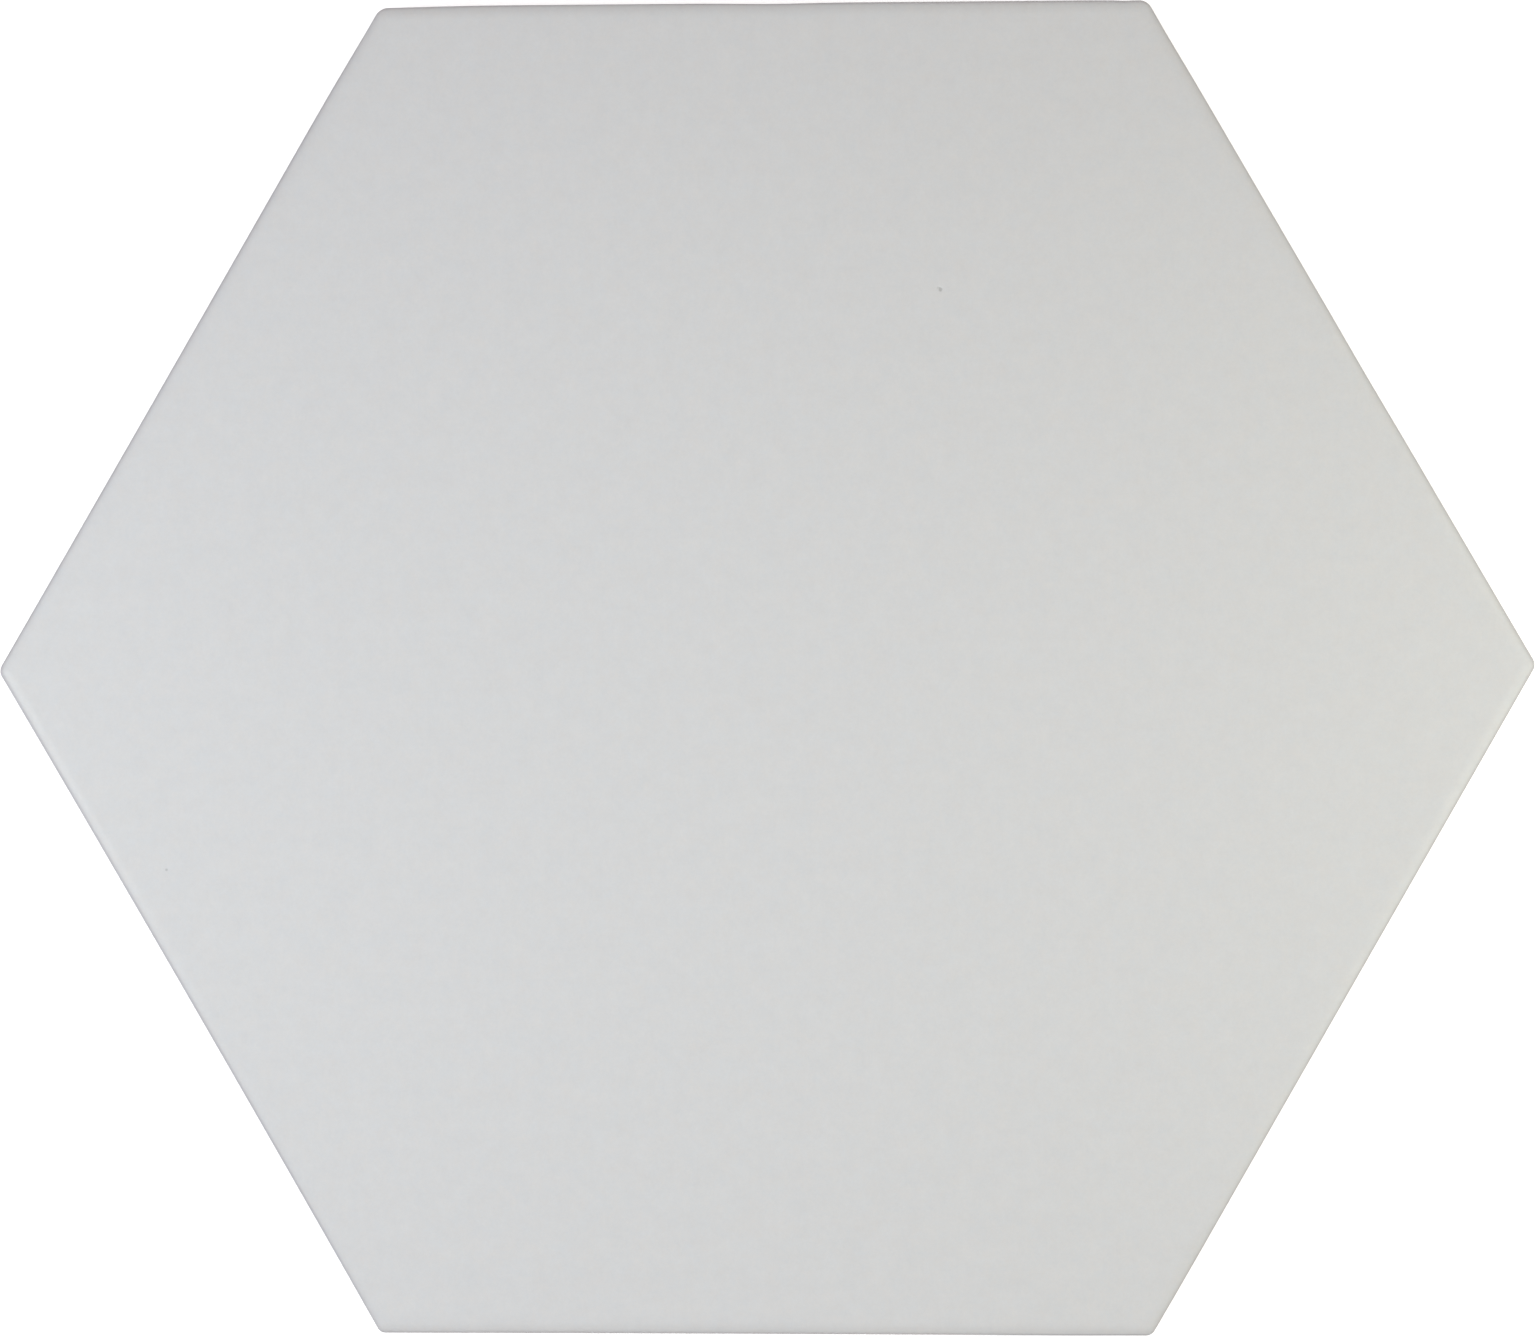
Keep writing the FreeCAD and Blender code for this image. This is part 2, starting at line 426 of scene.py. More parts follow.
def new_object(name: str, mesh: bpy.types.Mesh) -> bpy.types.Object:
    """An object at the origin that shows this mesh."""
    made = bpy.data.objects.new(name, mesh)
    bpy.context.scene.collection.objects.link(made)
    return made


def mesh_of(name: str, points: Iterable, faces: Iterable) -> bpy.types.Mesh:
    """A mesh of these points and faces."""
    mesh = bpy.data.meshes.new(name)
    mesh.from_pydata([tuple(point) for point in points], [], [tuple(face) for face in faces])
    return mesh


@dataclass
class Rule:
    """A Geometry Nodes tree that reshapes a mesh, and the inputs that its modifier is given."""

    name: str
    inputs: dict[str, tuple[str, object]]
    build: Callable[["Nodes", dict[str, Value]], Value]

    def tree(self) -> tuple[bpy.types.NodeTree, dict[str, str]]:
        """Builds the tree.

        Returns:
            The tree, and the identifier of each named input.
        """
        tree = bpy.data.node_groups.new(self.name, "GeometryNodeTree")
        panel = tree.interface
        panel.new_socket("Geometry", in_out="INPUT", socket_type="NodeSocketGeometry")
        identifiers = {
            name: panel.new_socket(name, in_out="INPUT", socket_type=kind).identifier
            for name, (kind, _) in self.inputs.items()
        }
        panel.new_socket("Geometry", in_out="OUTPUT", socket_type="NodeSocketGeometry")
        nodes = Nodes(tree)
        entry = nodes.add("NodeGroupInput")
        given = {socket.name: nodes.value(entry, socket.name) for socket in entry.outputs if socket.name}
        shape = self.build(nodes, given)
        realized = nodes.value(nodes.add("GeometryNodeRealizeInstances", {}, {0: shape}))
        sockets = {"Geometry": realized, "Material": given["Finish"]}
        dressed = nodes.value(nodes.add("GeometryNodeSetMaterial", {}, sockets))
        nodes.add("NodeGroupOutput", {}, {0: dressed})
        return tree, identifiers

    def apply(self, mesh: bpy.types.Mesh) -> bpy.types.Mesh:
        """Runs the tree on a mesh.

        Args:
            mesh: the mesh that the tree starts from. It is removed.

        Returns:
            The result, as a plain mesh.
        """
        tree, identifiers = self.tree()
        holder = new_object(self.name, mesh)
        modifier = holder.modifiers.new(self.name, "NODES")
        modifier.node_group = tree
        for name, (_, given) in self.inputs.items():
            modifier[identifiers[name]] = given
        graph = bpy.context.evaluated_depsgraph_get()
        result = bpy.data.meshes.new_from_object(holder.evaluated_get(graph), depsgraph=graph)
        holder.modifiers.remove(modifier)
        bpy.data.objects.remove(holder)
        bpy.data.meshes.remove(mesh)
        bpy.data.node_groups.remove(tree)
        return result


@dataclass(frozen=True)
class Pit:
    """A flaw in the glaze: a small hole with a dark bottom."""

    place: tuple[float, float]
    radius: float
    depth: float
    darkness: float


@dataclass(frozen=True)
class FaceGlaze:
    """The matte pale-grey glaze of the walked face and the arris, with painted shade along the arris, deeper
    on the left.
    """

    pale: Colour = grey(217, 217, 216)
    deep: Colour = grey(200, 200, 200)
    warm: Colour = grey(227, 209, 188)
    cool: Colour = grey(187, 209, 225)
    tint_share: float = 0.2
    # Partly thin glaze and partly painted shade: the darker purple-grey that the arris turns towards where it
    # drops away.
    rim_shade_and_thin_glaze: Colour = grey(165, 160, 167)
    rim_shade_and_thin_glaze_share: float = 0.23
    # Painted shade: how much more the rim towards the left corner is darkened.
    left_rim_shade_share: float = 0.17
    flaw: Colour = grey(74, 71, 68)
    roughness: float = 0.42
    mottle: float = 4.5 * MM
    speckle: float = 0.9 * MM
    peel: float = 1.6 * MM

    def material(self, tile: "TileSizes", pits: Sequence[Pit]) -> bpy.types.Material:
        """Makes the glaze.

        Args:
            tile: the tile's sizes.
            pits: the flaws, which are dark inside.

        Returns:
            The material.
        """
        made, nodes, shader = new_material("matte_grey_glaze")
        place = nodes.value(nodes.add("ShaderNodeTexCoord"), "Object")
        mottle = nodes.grain(place, self.mottle, 4.0, 1.0)
        speckles = nodes.grain(place, self.speckle, 1.0)
        colour = nodes.mix(mottle, self.pale, self.deep)
        elsewhere = nodes.vector("ADD", place, (0.5, 0.0, 0.0))
        tint = nodes.mix(nodes.grain(elsewhere, self.mottle, 4.0, 1.0), self.warm, self.cool)
        colour = nodes.mix(self.tint_share, colour, tint)
        x, _, height = nodes.split(place)
        drop = tile.thickness - height
        leftward = (x / nodes.vector("LENGTH", place, key="Value")).fade(-0.5, -0.65)
        # Painted shade mixed with thin glaze: the arris and the glazed side darken as they drop away from the
        # face.
        lip = drop.fade(0.24 * MM, 0.5 * MM) * self.rim_shade_and_thin_glaze_share
        # Painted shade: the rim towards the left corner is darkened more, against the light that the left
        # lamp puts on it.
        left_rim_shade = drop.fade(0.20 * MM, 0.42 * MM) * leftward * self.left_rim_shade_share
        colour = nodes.mix(lip + left_rim_shade, colour, self.rim_shade_and_thin_glaze)
        for pit in pits:
            centre = (*pit.place, tile.thickness)
            away = nodes.vector("DISTANCE", place, centre, key="Value")
            ragged = away + (nodes.grain(place, 0.5 * MM) - 0.5) * pit.radius * 0.9
            inside = ragged.fade(pit.radius * 0.95, pit.radius * 0.45) * pit.darkness
            colour = nodes.mix(inside, colour, self.flaw)
        roughness = (mottle - 0.5) * 0.1 + (speckles - 0.5) * 0.06 + self.roughness
        skin = nodes.grain(place, self.peel, 2.0) + speckles * 0.35
        bump = nodes.add("ShaderNodeBump", {}, {"Strength": 0.5, "Distance": 0.01 * MM, "Height": skin})
        nodes.tree.links.new(colour.socket, shader.inputs["Base Color"])
        nodes.tree.links.new(roughness.socket, shader.inputs["Roughness"])
        nodes.tree.links.new(bump.outputs[0], shader.inputs["Normal"])
        return made


@dataclass(frozen=True)
class Biscuit:
    """The bare fired body, on the side and on the back."""

    name: str
    body: Colour
    dark: Colour
    wash: Colour
    wash_share: float
    roughness: float = 0.82
    grain_size: float = 0.35 * MM
    cloud: float = 16 * MM

    def material(self, tile: "TileSizes") -> bpy.types.Material:
        """Makes the body's finish, with pores, clouds and traces of the pale kiln wash."""
        made, nodes, shader = new_material(self.name)
        place = nodes.value(nodes.add("ShaderNodeTexCoord"), "Object")
        _, _, height = nodes.split(place)
        grains = nodes.grain(place, self.grain_size, 3.0)
        clouds = nodes.grain(place, self.cloud, 4.0)
        colour = nodes.mix((grains * 0.6 + clouds * 0.4).fade(0.3, 0.7), self.dark, self.body)
        pores = nodes.grain(place, 0.7 * MM, 0.0).fade(0.70, 0.80)
        colour = nodes.mix(pores * 0.5, colour, self.dark)
        drawn = nodes.vector("MULTIPLY", place, (0.35, 1.0, 1.0))
        streaks = nodes.grain(drawn, 9 * MM, 5.0).fade(0.46, 0.62)
        crest = height.fade(tile.relief_depth * 0.6, tile.relief_depth * 0.1)
        wash = streaks * (crest * 0.7 + 0.3) * self.wash_share
        colour = nodes.mix(wash, colour, self.wash)
        roughness = (grains - 0.5) * 0.1 + self.roughness
        relief = grains - pores * 0.8
        bump = nodes.add("ShaderNodeBump", {}, {"Strength": 0.6, "Distance": 0.06 * MM, "Height": relief})
        nodes.tree.links.new(colour.socket, shader.inputs["Base Color"])
        nodes.tree.links.new(roughness.socket, shader.inputs["Roughness"])
        nodes.tree.links.new(bump.outputs[0], shader.inputs["Normal"])
        return made


def new_material(name: str) -> tuple[bpy.types.Material, Nodes, bpy.types.Node]:
    """An empty material, its tree and its shader."""
    made = bpy.data.materials.new(name)
    made.use_nodes = True
    made.node_tree.nodes.clear()
    nodes = Nodes(made.node_tree)
    shader = nodes.add("ShaderNodeBsdfPrincipled")
    nodes.add("ShaderNodeOutputMaterial", {}, {"Surface": nodes.value(shader)})
    return made, nodes, shader


@dataclass(frozen=True)
class TileSizes:
    """The tile's sizes. The first two come from the frame, and the rest are its source's own."""

    half_flats: float
    thickness: float
    roll_width: float = 2.5 * MM
    roll_drop: float = 0.8 * MM
    land_height: float = 4.0 * MM
    draft: float = math.radians(5.0)
    back_bevel: float = 0.6 * MM
    rim_width: float = 5.0 * MM
    rib_width: float = 2.0 * MM
    relief_depth: float = 0.8 * MM
    cell_draft: float = math.radians(25.0)
    cell_rings: int = 6

    @classmethod
    def from_frame(cls, node: str) -> "TileSizes":
        """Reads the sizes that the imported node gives."""
        low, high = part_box(node)
        return cls(half_flats=(high.y - low.y) / 2, thickness=high.z - low.z)

    @property
    def foot_height(self) -> float:
        """The height at which the side starts to lean in."""
        return self.thickness - self.roll_drop - self.land_height

    @property
    def foot_inset(self) -> float:
        """How far the lean takes the side in at the back's plane."""
        return self.foot_height * math.tan(self.draft)

    @property
    def cell_pitch(self) -> float:
        """The distance between two cells' middles."""
        field_reach = self.half_flats - self.foot_inset - self.back_bevel - self.rim_width
        root = math.sqrt(3)
        return (field_reach + self.rib_width / root) / (self.cell_rings * root / 2 + 1 / root)


@dataclass
class GlazedFace:
    """The walked face: a flat sheet with a rolled arris round it, and a few flaws."""

    sizes: TileSizes
    outline: Outline
    pits: tuple[Pit, ...]
    finish: bpy.types.Material
    roll_steps: int = 12
    lattice: float = 2.8 * MM

    def insets(self) -> list[float]:
        """The insets of the arris's rings, close together where it is steep."""
        turns = (HALF_TURN_STEP * step / self.roll_steps for step in range(self.roll_steps + 1))
        return [self.sizes.roll_width * (1 - math.cos(turn)) for turn in turns]

    def lattice_points(self, edge: float) -> list[Vector]:
        """Points of a triangular lattice over the flat, and closer ones round each pit."""
        reach = int(self.sizes.half_flats * 1.2 / self.lattice)
        rows = [
            Vector((column + row / 2, row * math.sqrt(3) / 2)) * self.lattice
            for row in range(-reach, reach + 1)
            for column in range(-2 * reach, 2 * reach + 1)
        ]
        clear = [point for point in rows if self.depth_inside(point) > edge]
        kept = [p for p in clear if all((p - Vector(pit.place)).length > 6 * pit.radius for pit in self.pits)]
        for pit in self.pits:
            kept.append(Vector(pit.place))
            for radius, count in ((0.35, 6), (0.7, 10), (1.1, 12), (1.8, 12), (3.0, 12), (4.6, 12)):
                for step in range(count):
                    kept.append(Vector(pit.place) + bearing(math.tau * step / count) * radius * pit.radius)
        return kept

    def depth_inside(self, point: Vector) -> float:
        """The plan distance from a point to the nearest side, inwards."""
        distances = []
        for side in range(SIDES):
            start, normal = self.outline.side_line(side, 0.0)
            distances.append(normal.dot(start - point))
        return min(distances)

    def dip(self, point: Vector) -> float:
        """How far the pits take the face down at this point."""
        depth = 0.0
        for pit in self.pits:
            share = max(0.0, 1 - (point - Vector(pit.place)).length / (1.3 * pit.radius))
            depth += pit.depth * share * share * (3 - 2 * share)
        return depth

    def sheet(self) -> bpy.types.Mesh:
        """The face before it is shaped, flat, with each point's inset and dip kept as attributes."""
        rings = [self.outline.ring(inset) for inset in self.insets()]
        count = len(rings[0])
        points = [point for ring in rings for point in ring]
        insets = [inset for inset in self.insets() for _ in range(count)]
        faces = []
        for lower in range(len(rings) - 1):
            for step in range(count):
                near, far = lower * count + step, lower * count + (step + 1) % count
                faces.append((near, far, far + count, near + count))
        plan, fill = triangulate([rings[-1]], self.lattice_points(self.sizes.roll_width + self.lattice / 2))
        first = len(points) - count
        points += plan[count:]
        insets += [self.depth_inside(point) for point in plan[count:]]
        faces += [[first + number for number in face] for face in fill]
        mesh = mesh_of("face", (point.to_3d() for point in points), faces)
        for name, values in (("inset", insets), ("dip", [self.dip(point) for point in points])):
            mesh.attributes.new(name, "FLOAT", "POINT").data.foreach_set("value", values)
        return mesh

    def shaping(self, nodes: Nodes, given: dict[str, Value]) -> Value:
        """The rule of the face's height: a quarter ellipse at the edge, a faint wave and the dips."""
        kept = {
            name: nodes.value(
                nodes.add("GeometryNodeInputNamedAttribute", {"data_type": "FLOAT"}, {"Name": name})
            )
            for name in ("inset", "dip")
        }
        outward = (1 - kept["inset"] / given["Roll width"]).at_least(0.0)
        roll = given["Roll drop"] * (1 - (1 - outward * outward).at_least(0.0) ** 0.5)
        place = nodes.value(nodes.add("GeometryNodeInputPosition"))
        wave = nodes.grain(place, 1.0, 1.0)
        wave.socket.node.inputs["Scale"].default_value = 1 / (45 * MM)
        flat = kept["inset"].fade(0.0, 12 * MM)
        height = given["Thickness"] - roll - wave * given["Wave"] * flat - kept["dip"]
        offset = nodes.join(0.0, 0.0, height)
        return nodes.value(
            nodes.add("GeometryNodeSetPosition", {}, {"Geometry": given["Geometry"], "Offset": offset})
        )

    def mesh(self) -> bpy.types.Mesh:
        """The finished face."""
        rule = Rule(
            "face_rule",
            {
                "Thickness": ("NodeSocketFloat", self.sizes.thickness),
                "Roll width": ("NodeSocketFloat", self.sizes.roll_width),
                "Roll drop": ("NodeSocketFloat", self.sizes.roll_drop),
                "Wave": ("NodeSocketFloat", 0.03 * MM),
                "Finish": ("NodeSocketMaterial", self.finish),
            },
            self.shaping,
        )
        return rule.apply(self.sheet())


HALF_TURN_STEP = math.pi / 2


@dataclass
class KeyRelief:
    """The back's key: rings of drafted cells round a middle one, between ribs of one width."""

    sizes: TileSizes
    finish: bpy.types.Material
    corner_steps: int = 3
    crest_round: float = 0.35 * MM
    floor_round: float = 0.45 * MM
    seed: int = 7

    def profile(self) -> list[Vector]:
        """The inset and height from the middle of a rib to the floor of a cell."""
        sizes = self.sizes
        crest = sizes.rib_width / 2
        foot = crest + sizes.relief_depth * math.tan(sizes.cell_draft)
        corners = [(0.0, 0.0), (crest, 0.0), (foot, sizes.relief_depth), (2 * foot, sizes.relief_depth)]
        return rounded_profile(corners, [self.crest_round, self.floor_round], 2)

    def cell_ring(self, inset: float, height: float) -> list[Vector]:
        """A hexagon with two upright sides, rounded where it is clear of the ribs' middles."""
        apothem = self.sizes.cell_pitch / 2 - inset
        radius = 0.0 if inset == 0 else max(1.9 * MM - inset, 0.5 * MM)
        reach = (apothem - radius) / math.cos(HALF_SIXTH)
        points = []
        for corner in range(SIDES):
            middle = HALF_SIXTH + corner * SIXTH
            for step in range(self.corner_steps + 1):
                turn = middle - HALF_SIXTH + SIXTH * step / self.corner_steps
                points.append((bearing(middle) * reach + bearing(turn) * radius).to_3d())
                points[-1].z = height
        return points

    def cell(self) -> bpy.types.Mesh:
        """One cell and its half of the ribs round it."""
        rings = [self.cell_ring(point.x, point.y) for point in self.profile()]
        count = len(rings[0])
        points = [point for ring in rings for point in ring]
        faces = []
        for lower in range(len(rings) - 1):
            for step in range(count):
                near, far = lower * count + step, lower * count + (step + 1) % count
                faces.append((near, near + count, far + count, far))
        last = len(points) - count
        points.append(Vector((0.0, 0.0, self.sizes.relief_depth)))
        faces += [(last + step, len(points) - 1, last + (step + 1) % count) for step in range(count)]
        mesh = mesh_of("cell", points, faces)
        shape = bmesh.new()
        shape.from_mesh(mesh)
        bmesh.ops.remove_doubles(shape, verts=shape.verts, dist=WELD)
        shape.to_mesh(mesh)
        shape.free()
        return mesh

    def layout(self, nodes: Nodes, given: dict[str, Value]) -> Value:
        """The rule of the rows: a cell at each point of a hexagonal lattice, in rings round the middle."""
        rings, pitch = given["Rings"], given["Pitch"]
        row_length = rings * 2 + 1
        number = nodes.value(nodes.add("GeometryNodeInputIndex"))
        column = number % row_length - rings
        row = number // row_length - rings
        inside = 1 - abs(column + row).above(rings + 0.5)
        place = nodes.join(pitch * (column + row / 2), pitch * row * (math.sqrt(3) / 2), 0.0)
        points = nodes.value(
            nodes.add("GeometryNodePoints", {}, {"Count": row_length * row_length, "Position": place})
        )
        turn = nodes.add(
            "FunctionNodeRandomValue",
            {"data_type": "INT"},
            {"Min": 0, "Max": SIDES - 1, "Seed": given["Seed"]},
        )
        turned = nodes.join(0.0, 0.0, nodes.value(turn, 2) * SIXTH)
        cells = nodes.value(
            nodes.add(
                "GeometryNodeInstanceOnPoints",
                {},
                {
                    "Points": points,
                    "Selection": inside,
                    "Instance": given["Geometry"],
                    "Rotation": turned,
                },
            )
        )
        real = nodes.value(nodes.add("GeometryNodeRealizeInstances", {}, {0: cells}))
        welded = nodes.value(
            nodes.add("GeometryNodeMergeByDistance", {}, {"Geometry": real, "Distance": 5 * WELD})
        )
        place = nodes.value(nodes.add("GeometryNodeInputPosition"))
        _, _, height = nodes.split(place)
        uneven = (nodes.grain(place, 6 * MM, 2.0) - 0.5) * given["Unevenness"]
        offset = nodes.join(0.0, 0.0, uneven * (height / given["Depth"]))
        return nodes.value(
            nodes.add("GeometryNodeSetPosition", {}, {"Geometry": welded, "Offset": offset})
        )

    def mesh(self) -> bpy.types.Mesh:
        """The finished rows of cells."""
        rule = Rule(
            "rows_of_cells",
            {
                "Rings": ("NodeSocketInt", self.sizes.cell_rings),
                "Pitch": ("NodeSocketFloat", self.sizes.cell_pitch),
                "Depth": ("NodeSocketFloat", self.sizes.relief_depth),
                "Unevenness": ("NodeSocketFloat", 0.12 * MM),
                "Seed": ("NodeSocketInt", self.seed),
                "Finish": ("NodeSocketMaterial", self.finish),
            },
            self.layout,
        )
        return rule.apply(self.cell())


@dataclass
class PressedSide:
    """The side: glaze over its upper edge, an upright land, a drafted foot and a bevel."""

    sizes: TileSizes
    outline: Outline
    glaze_reach: float = 1.0 * MM
    glaze_step: float = 0.07 * MM
    glaze_waver: float = 0.28 * MM
    longest: float = 0.9 * MM

    def profile(self) -> tuple[list[Vector], int]:
        """The side's insets and heights from the arris down, and how many of them carry glaze."""
        sizes = self.sizes
        top = sizes.thickness - sizes.roll_drop
        lip = top - self.glaze_reach
        glazed = [Vector((0.0, top)), Vector((0.0, top - self.glaze_reach / 2)), Vector((0.0, lip))]
        step = self.glaze_step
        lean = math.tan(sizes.draft)
        corners = [
            (step, lip - step),
            (step, sizes.foot_height),
            (step + (sizes.foot_height - sizes.back_bevel) * lean, sizes.back_bevel),
            (sizes.foot_inset + sizes.back_bevel, 0.0),
            (sizes.foot_inset + sizes.back_bevel * 2, 0.0),
        ]
        bare = rounded_profile(corners, [0.8 * MM, 0.25 * MM, 0.25 * MM], 3)
        return glazed + spread(bare, self.longest), len(glazed)

    def rings(self) -> tuple[list[list[Vector]], int]:
        """The side's rings from the arris down, and how many of them carry glaze."""
        points, glazed = self.profile()
        top, lip = points[0].y, points[glazed - 1].y
        rings = []
        for inset, height in points:
            near_lip = max(0.0, 1 - abs(height - lip) / (top - lip))
            ring = []
            for place in self.outline.ring(inset):
                waver = noise.noise(place.to_3d() / (7 * MM)) + noise.noise(place.to_3d() / (2.5 * MM)) / 2
                ring.append(Vector((*place, height + near_lip * waver * self.glaze_waver)))
            rings.append(ring)
        return rings, glazed


@dataclass
class Tile:
    """The whole tile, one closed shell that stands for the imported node."""

    node: str
    sizes: TileSizes
    pits: tuple[Pit, ...]
    outline: Outline = field(init=False)

    def __post_init__(self) -> None:
        self.outline = Outline(self.sizes.half_flats)

    def finishes(self) -> dict[Surface, bpy.types.Material]:
        """The three finishes, by surface."""
        side = Biscuit(
            "bare_side", grey(219, 214, 205), grey(203, 197, 187), grey(229, 227, 221), wash_share=0.25
        )
        back = Biscuit(
            "washed_back", grey(213, 207, 197), grey(195, 188, 177), grey(235, 233, 229), wash_share=0.8
        )
        return {
            Surface.GLAZE: FaceGlaze().material(self.sizes, self.pits),
            Surface.BISCUIT: side.material(self.sizes),
            Surface.BACK: back.material(self.sizes),
        }

    def add_mesh(self, shell: bmesh.types.BMesh, mesh: bpy.types.Mesh, surface: Surface) -> None:
        """Adds a mesh to the shell with one finish, and removes it."""
        before = len(shell.faces)
        shell.from_mesh(mesh)
        shell.faces.ensure_lookup_table()
        for face in shell.faces[before:]:
            face.material_index = surface.value
        bpy.data.meshes.remove(mesh)

    def side_mesh(self, rings: Sequence[Sequence[Vector]]) -> bpy.types.Mesh:
        """A band of quads between the rings, from the upper one down."""
        count = len(rings[0])
        faces = []
        for upper in range(len(rings) - 1):
            for step in range(count):
                near, far = upper * count + step, upper * count + (step + 1) % count
                faces.append((near, near + count, far + count, far))
        return mesh_of("side", (point for ring in rings for point in ring), faces)

    def border_mesh(self, edge: Sequence[Vector], relief: bpy.types.Mesh) -> bpy.types.Mesh:
        """The plain border between the foot of the side and the outer cells."""
        plan, faces = triangulate([[point.to_2d() for point in edge], open_loop(relief)], [])
        return mesh_of("border", (point.to_3d() for point in plan), faces)

    def build(self) -> bpy.types.Object:
        """Builds the tile's shell and dresses it.

        Returns:
            The piece, which rides on the tile's body.
        """
        finishes = self.finishes()
        face = GlazedFace(self.sizes, self.outline, self.pits, finishes[Surface.GLAZE]).mesh()
        relief = KeyRelief(self.sizes, finishes[Surface.BACK]).mesh()
        rings, glazed = PressedSide(self.sizes, self.outline).rings()
        border = self.border_mesh(rings[-1], relief)
        LOG.info("face %d, relief %d, border %d faces", *map(face_count, (face, relief, border)))
        shell = bmesh.new()
        self.add_mesh(shell, face, Surface.GLAZE)
        self.add_mesh(shell, self.side_mesh(rings[:glazed]), Surface.GLAZE)
        self.add_mesh(shell, self.side_mesh(rings[glazed - 1 :]), Surface.BISCUIT)
        self.add_mesh(shell, relief, Surface.BACK)
        self.add_mesh(shell, border, Surface.BACK)
        bmesh.ops.remove_doubles(shell, verts=shell.verts, dist=2 * WELD)
        bmesh.ops.recalc_face_normals(shell, faces=shell.faces)
        open_edges = sum(1 for edge in shell.edges if len(edge.link_faces) != 2)
        volume = shell.calc_volume(signed=True) / MM**3
        LOG.info("tile: %d faces, %d open edges, %.0f mm3", len(shell.faces), open_edges, volume)
        mesh = bpy.data.meshes.new("tile")
        shell.to_mesh(mesh)
        shell.free()
        mesh.shade_smooth()
        for surface in Surface:
            mesh.materials.append(finishes[surface])
        piece = new_object("porcelain_tile", mesh)
        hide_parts(self.node)
        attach(piece, "root")
        return piece


def face_count(mesh: bpy.types.Mesh) -> int:
    """How many faces the mesh has."""
    return len(mesh.polygons)


def open_loop(mesh: bpy.types.Mesh) -> list[Vector]:
    """The mesh's one open edge loop, in plan and in order."""
    shape = bmesh.new()
    shape.from_mesh(mesh)
    edges = [edge for edge in shape.edges if len(edge.link_faces) == 1]
    start = edges[0].verts[0]
    loop, before, here = [], None, start
    while here is not start or not loop:
        loop.append(here.co.to_2d())
        following = [
            edge.other_vert(here)
            for edge in here.link_edges
            if len(edge.link_faces) == 1 and edge.other_vert(here) is not before
        ]
        before, here = here, following[0]
    shape.free()
    return loop


@dataclass(frozen=True)
class SoftLamp:
    """A square soft lamp that points at the middle of the tile."""

    name: str
    bearing: float
    elevation: float
    distance: float
    size: float
    power: float
    colour: tuple[float, float, float]

    def build(self) -> None:
        """Adds the lamp."""
        data = bpy.data.lights.new(self.name, "AREA")
        data.shape = "SQUARE"
        data.size = self.size
        data.energy = self.power
        data.color = self.colour
        lamp = bpy.data.objects.new(self.name, data)
        around, up = math.radians(self.bearing), math.radians(self.elevation)
        outward = Vector((math.cos(around) * math.cos(up), math.sin(around) * math.cos(up), math.sin(up)))
        lamp.location = outward * self.distance
        lamp.rotation_euler = outward.to_track_quat("Z", "Y").to_euler()
        lamp.visible_camera = False
        bpy.context.scene.collection.objects.link(lamp)


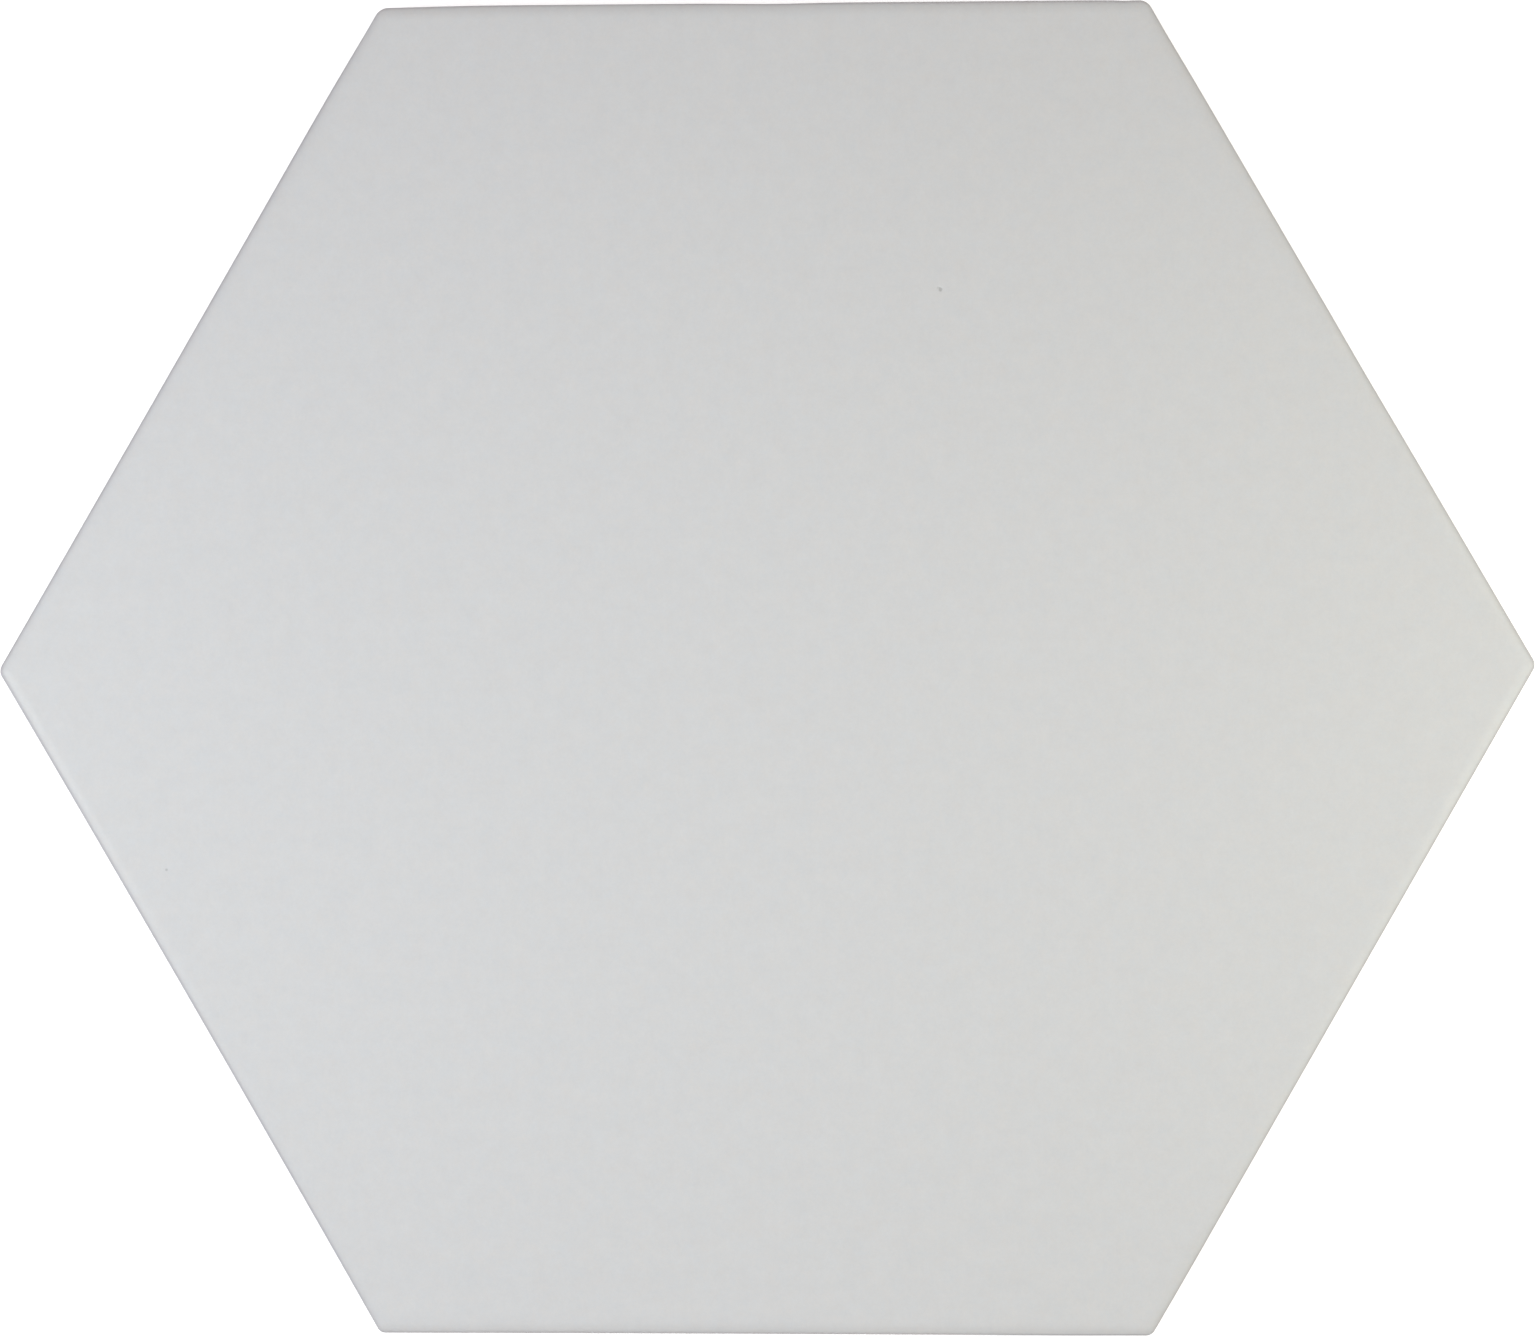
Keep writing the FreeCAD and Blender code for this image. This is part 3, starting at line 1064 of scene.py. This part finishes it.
@dataclass(frozen=True)
class Studio:
    """The pale floor, the soft light and the camera."""

    face_height: float
    ambient: Colour = (0.184, 0.125, 0.121, 1.0)
    lamps: tuple[SoftLamp, ...] = (
        SoftLamp("left_lamp", 193.8, 63.0, 0.395, 0.540, 1.136, (0.897, 1.0, 1.120)),
        SoftLamp("right_lamp", -5.4, 42.6, 0.445, 0.318, 1.018, (0.963, 1.0, 0.877)),
        SoftLamp("small_lamp", 189.9, 46.1, 0.478, 0.058, 0.334, (0.955, 1.0, 0.917)),
    )
    aim: tuple[float, float] = (0.74 * MM, -0.09 * MM)
    camera_distance: float = 0.8
    camera_turn: tuple[float, float, float] = (0.7816, 1.9218, -0.1779)
    lens: float = 108.01

    def build(self) -> None:
        """Adds all of it, and sets the view."""
        for lamp in self.lamps:
            lamp.build()
        self.add_camera()
        self.add_floor()
        self.add_world()
        bpy.context.scene.view_settings.view_transform = "Standard"

    def add_camera(self) -> None:
        """The camera looks down on the face from a little to the right, as in the photograph."""
        data = bpy.data.cameras.new("camera")
        data.lens = self.lens
        data.clip_start = 0.01
        camera = bpy.data.objects.new("camera", data)
        turn = Euler([math.radians(angle) for angle in self.camera_turn], "ZYX")
        back = turn.to_matrix() @ Vector((0.0, 0.0, self.camera_distance))
        camera.rotation_mode = "ZYX"
        camera.rotation_euler = turn
        camera.location = Vector((*self.aim, self.face_height)) + back
        bpy.context.scene.collection.objects.link(camera)
        bpy.context.scene.camera = camera

    def seen(self, nodes: Nodes) -> Value:
        """1 for rays that show a surface directly, in a mirror or through glass, and 0 for its light."""
        paths = nodes.add("ShaderNodeLightPath")
        rays = [nodes.value(paths, f"Is {kind} Ray") for kind in ("Camera", "Glossy", "Transmission")]
        return rays[0].at_least(rays[1]).at_least(rays[2])

    def add_floor(self) -> None:
        """A wide pale floor that shows white away from the tile and keeps its shadow."""
        reach = 4.0
        corners = [(-reach, -reach, 0), (reach, -reach, 0), (reach, reach, 0), (-reach, reach, 0)]
        floor = new_object("floor", mesh_of("floor", corners, [(0, 1, 2, 3)]))
        made, nodes, shader = new_material("pale_floor")
        shader.inputs["Base Color"].default_value = (0.8, 0.8, 0.8, 1.0)
        shader.inputs["Roughness"].default_value = 0.9
        place = nodes.value(nodes.add("ShaderNodeTexCoord"), "Object")
        away = nodes.vector("LENGTH", place, key="Value")
        strength = away.fade(0.15, 0.5) * 0.34 + 0.66
        glow = nodes.value(nodes.add("ShaderNodeEmission", {}, {"Strength": strength}))
        lit = nodes.value(nodes.add("ShaderNodeAddShader", {}, {0: nodes.value(shader), 1: glow}))
        mixed = nodes.add(
            "ShaderNodeMixShader", {}, {0: self.seen(nodes), 1: nodes.value(shader), 2: lit}
        )
        output = next(node for node in nodes.tree.nodes if node.type == "OUTPUT_MATERIAL")
        nodes.tree.links.new(mixed.outputs[0], output.inputs["Surface"])
        floor.data.materials.append(made)

    def add_world(self) -> None:
        """White where it is seen, and a soft grey as light."""
        world = bpy.data.worlds.new("studio")
        world.use_nodes = True
        world.node_tree.nodes.clear()
        nodes = Nodes(world.node_tree)
        light = nodes.value(nodes.add("ShaderNodeBackground", {}, {"Color": self.ambient}))
        white = nodes.value(nodes.add("ShaderNodeBackground", {}, {"Color": (1, 1, 1, 1)}))
        mixed = nodes.add("ShaderNodeMixShader", {}, {0: self.seen(nodes), 1: light, 2: white})
        nodes.add("ShaderNodeOutputWorld", {}, {"Surface": nodes.value(mixed)})
        bpy.context.scene.world = world


def main() -> None:
    """Builds the tile and the studio round it."""
    logging.basicConfig(level=logging.INFO, format="%(message)s")
    pits = (
        Pit((30.98 * MM, 65.60 * MM), 0.48 * MM, 0.08 * MM, 0.32),
        Pit((30.50 * MM, 65.90 * MM), 0.28 * MM, 0.03 * MM, 0.14),
        Pit((-104.21 * MM, -34.95 * MM), 0.34 * MM, 0.05 * MM, 0.26),
    )
    (node,) = frame["nodes"]
    sizes = TileSizes.from_frame(node)
    Tile(node, sizes, pits).build()
    Studio(sizes.thickness).build()


if __name__ == "__main__":
    main()
